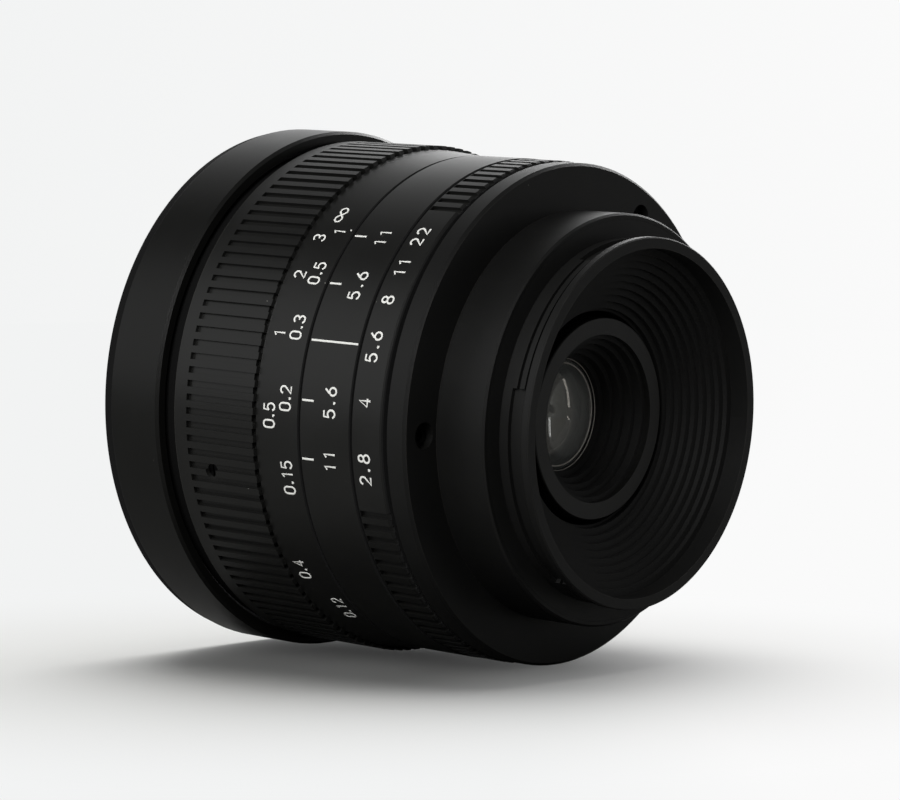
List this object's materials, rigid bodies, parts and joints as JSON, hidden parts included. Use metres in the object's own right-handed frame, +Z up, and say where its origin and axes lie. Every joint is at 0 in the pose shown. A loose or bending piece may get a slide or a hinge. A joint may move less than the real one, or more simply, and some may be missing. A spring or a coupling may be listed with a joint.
{
  "type": "wide-angle photographic lens",
  "caption": "Manual wide-angle lens with ribbed focus ring, aperture ring and iris, petal hood under a push-on metal cap, and a rear bayonet with a stepped light baffle.",
  "frame": {"origin": "centre of the bayonet's seating face, on the optical axis", "axes": "+X along the optical axis towards the camera, +Z up as the lens lies, with the index line 74 degrees round from +Z towards -Y"},
  "size_m": [0.058, 0.0652, 0.0652],
  "materials": {
    "anodised_black": "satin black anodised",
    "lens_black": "matt black coating",
    "mount_metal": "black plated, satin",
    "helicoid_brass": "turned",
    "blade_steel": "blued, matt",
    "black_screw": "black oxide",
    "lens_glass": "coated",
    "felt": "felt",
    "seal_rubber": "matt"
  },
  "bodies": {
    "barrel": {"main_barrel": "anodised_black", "rear_cover": "anodised_black", "cover_screws": "black_screw", "bayonet_ring": "mount_metal", "bayonet_screws": "black_screw", "rear_baffle": "lens_black", "index_ring": "anodised_black", "index_ring_screws": "black_screw", "focus_retaining_ring": "helicoid_brass", "guide_key": "helicoid_brass", "guide_key_screws": "black_screw"},
    "focus": {"focus_ring": "anodised_black", "focus_helicoid": "anodised_black", "focus_set_screws": "black_screw"},
    "aperture": {"aperture_ring": "anodised_black", "aperture_drive_pin": "black_screw"},
    "optical_block": {"lens_barrel": "anodised_black", "block_helicoid": "helicoid_brass", "petal_hood": "anodised_black", "hood_screws": "black_screw", "front_trim_ring": "anodised_black", "front_retaining_ring": "lens_black", "front_seal": "seal_rubber", "front_glass": "lens_glass", "second_glass": "lens_glass", "front_spacer": "lens_black", "inner_glass_a": "lens_glass", "inner_glass_b": "lens_glass", "inner_spacer": "lens_black", "inner_glass_c": "lens_glass", "inner_retaining_ring": "lens_black", "iris_base": "helicoid_brass", "iris_retaining_ring": "lens_black", "rear_cell": "anodised_black", "rear_doublet_a": "lens_glass", "rear_doublet_b": "lens_glass", "rear_spacer": "lens_black", "rear_glass": "lens_glass", "rear_retaining_ring": "lens_black"},
    "iris_ring": {"iris_cam_ring": "helicoid_brass", "iris_fork": "helicoid_brass", "iris_fork_screws": "black_screw"},
    "cap": {"lens_cap": "anodised_black", "cap_liner": "felt"},
    "iris_blade_1": {"iris_blade_1": "blade_steel"},
    "iris_blade_2": {"iris_blade_2": "blade_steel"},
    "iris_blade_3": {"iris_blade_3": "blade_steel"},
    "iris_blade_4": {"iris_blade_4": "blade_steel"},
    "iris_blade_5": {"iris_blade_5": "blade_steel"},
    "iris_blade_6": {"iris_blade_6": "blade_steel"},
    "iris_blade_7": {"iris_blade_7": "blade_steel"},
    "iris_blade_8": {"iris_blade_8": "blade_steel"}
  },
  "joints": [
    {"name": "focus_turn", "type": "hinge", "parent": "barrel", "child": "focus", "pos_m": [-0.033, 0, 0], "axis": [1, 0, 0], "range_deg": [-68.6, 31.8]},
    {"name": "optics_travel", "type": "slide", "parent": "barrel", "child": "optical_block", "axis": [1, 0, 0], "range_m": [-0.00062, 0.00029]},
    {"name": "aperture_turn", "type": "hinge", "parent": "barrel", "child": "aperture", "pos_m": [-0.0125, 0, 0], "axis": [1, 0, 0], "range_deg": [-27.1, 27.7]},
    {"name": "iris_ring_turn", "type": "hinge", "parent": "optical_block", "child": "iris_ring", "pos_m": [-0.0188, 0, 0], "axis": [1, 0, 0], "range_deg": [-27.2, 27.8]},
    {"name": "cap_pull", "type": "slide", "parent": "optical_block", "child": "cap", "axis": [-1, 0, 0], "range_m": [0, 0.02]},
    {"name": "iris_blade_1_pivot", "type": "hinge", "parent": "optical_block", "child": "iris_blade_1", "pos_m": [-0.0202, 0, 0.008], "axis": [1, 0, 0], "range_deg": [-10.5, 10.7]},
    {"name": "iris_blade_2_pivot", "type": "hinge", "parent": "optical_block", "child": "iris_blade_2", "pos_m": [-0.0202, -0.00566, 0.00566], "axis": [1, 0, 0], "range_deg": [-10.5, 10.7]},
    {"name": "iris_blade_3_pivot", "type": "hinge", "parent": "optical_block", "child": "iris_blade_3", "pos_m": [-0.0202, -0.008, 0], "axis": [1, 0, 0], "range_deg": [-10.5, 10.7]},
    {"name": "iris_blade_4_pivot", "type": "hinge", "parent": "optical_block", "child": "iris_blade_4", "pos_m": [-0.0202, -0.00566, -0.00566], "axis": [1, 0, 0], "range_deg": [-10.5, 10.7]},
    {"name": "iris_blade_5_pivot", "type": "hinge", "parent": "optical_block", "child": "iris_blade_5", "pos_m": [-0.0202, 0, -0.008], "axis": [1, 0, 0], "range_deg": [-10.5, 10.7]},
    {"name": "iris_blade_6_pivot", "type": "hinge", "parent": "optical_block", "child": "iris_blade_6", "pos_m": [-0.0202, 0.00566, -0.00566], "axis": [1, 0, 0], "range_deg": [-10.5, 10.7]},
    {"name": "iris_blade_7_pivot", "type": "hinge", "parent": "optical_block", "child": "iris_blade_7", "pos_m": [-0.0202, 0.008, 0], "axis": [1, 0, 0], "range_deg": [-10.5, 10.7]},
    {"name": "iris_blade_8_pivot", "type": "hinge", "parent": "optical_block", "child": "iris_blade_8", "pos_m": [-0.0202, 0.00566, 0.00566], "axis": [1, 0, 0], "range_deg": [-10.5, 10.7]}
  ],
  "couplings": [
    {"joint": "optics_travel", "follows": "focus_turn", "m_per_rad": 0.0005093},
    {"joint": "iris_ring_turn", "follows": "aperture_turn", "ratio": 1},
    {"joint": "iris_blade_1_pivot", "follows": "aperture_turn", "ratio": 0.38139},
    {"joint": "iris_blade_2_pivot", "follows": "aperture_turn", "ratio": 0.38139},
    {"joint": "iris_blade_3_pivot", "follows": "aperture_turn", "ratio": 0.38139},
    {"joint": "iris_blade_4_pivot", "follows": "aperture_turn", "ratio": 0.38139},
    {"joint": "iris_blade_5_pivot", "follows": "aperture_turn", "ratio": 0.38139},
    {"joint": "iris_blade_6_pivot", "follows": "aperture_turn", "ratio": 0.38139},
    {"joint": "iris_blade_7_pivot", "follows": "aperture_turn", "ratio": 0.38139},
    {"joint": "iris_blade_8_pivot", "follows": "aperture_turn", "ratio": 0.38139}
  ]
}
